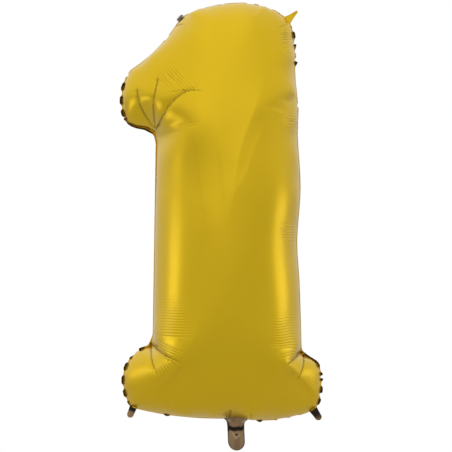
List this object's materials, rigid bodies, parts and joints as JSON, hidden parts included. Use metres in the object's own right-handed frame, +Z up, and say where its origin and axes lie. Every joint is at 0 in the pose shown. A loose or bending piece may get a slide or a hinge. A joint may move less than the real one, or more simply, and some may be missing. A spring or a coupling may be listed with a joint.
{
  "type": "foil number balloon",
  "caption": "Inflated foil balloon in the shape of a numeral 1, with a sealed rim, a flat filling neck with a self-sealing valve, and hanging tabs that flip.",
  "frame": {"origin": "the root of the filling neck, in the plane of the seam, where the ribbon is tied", "axes": "+Z up along the numeral's stem, +X to the right as the front is read, +Y from the front to the back"},
  "size_m": [0.4123, 0.2906, 0.9195],
  "materials": {
    "gold_foil": "satin gold metallised film, finely rippled beside its seams",
    "neck_film": "thin bronze-brown film, slightly see-through",
    "valve_film": "cloudy thin film",
    "tab_film": "two sealed film plies, bronze-brown, one tab gold"
  },
  "bodies": {
    "envelope": {"front_foil_panel": "gold_foil", "back_foil_panel": "gold_foil", "valve_inner_front_film": "valve_film", "valve_inner_back_film": "valve_film"},
    "neck": {"neck_front_film": "neck_film", "neck_back_film": "neck_film", "valve_front_film": "valve_film", "valve_back_film": "valve_film"},
    "tab_bottom_left": {"hanging_tab_bottom_left": "tab_film"},
    "tab_top_left": {"hanging_tab_top_left": "tab_film"},
    "tab_top_right": {"hanging_tab_top_right": "tab_film"},
    "tab_bottom_right": {"hanging_tab_bottom_right": "tab_film"}
  },
  "joints": [
    {"name": "neck_flip", "type": "hinge", "parent": "envelope", "child": "neck", "pos_m": [0, 0, 0], "axis": [1, 0, 0], "range_deg": [-80, 80], "stiffness_Nm_per_rad": 0.002},
    {"name": "bottom_left_tab_flip", "type": "hinge", "parent": "envelope", "child": "tab_bottom_left", "pos_m": [-0.21087, 0, 0.02407], "axis": [-0.9285, 0, 0.3714], "range_deg": [-80, 80], "stiffness_Nm_per_rad": 0.0005},
    {"name": "top_left_tab_flip", "type": "hinge", "parent": "envelope", "child": "tab_top_left", "pos_m": [-0.11374, 0, 0.82418], "axis": [0.6783, 0, 0.7348], "range_deg": [-12, 148], "stiffness_Nm_per_rad": 0.0005},
    {"name": "top_right_tab_flip", "type": "hinge", "parent": "envelope", "child": "tab_top_right", "pos_m": [0.10824, 0, 0.82168], "axis": [0.6757, 0, -0.7372], "range_deg": [-60, 100], "stiffness_Nm_per_rad": 0.0005},
    {"name": "bottom_right_tab_flip", "type": "hinge", "parent": "envelope", "child": "tab_bottom_right", "pos_m": [0.16006, 0, 0.02017], "axis": [-0.8321, 0, -0.5547], "range_deg": [-80, 80], "stiffness_Nm_per_rad": 0.0005}
  ]
}
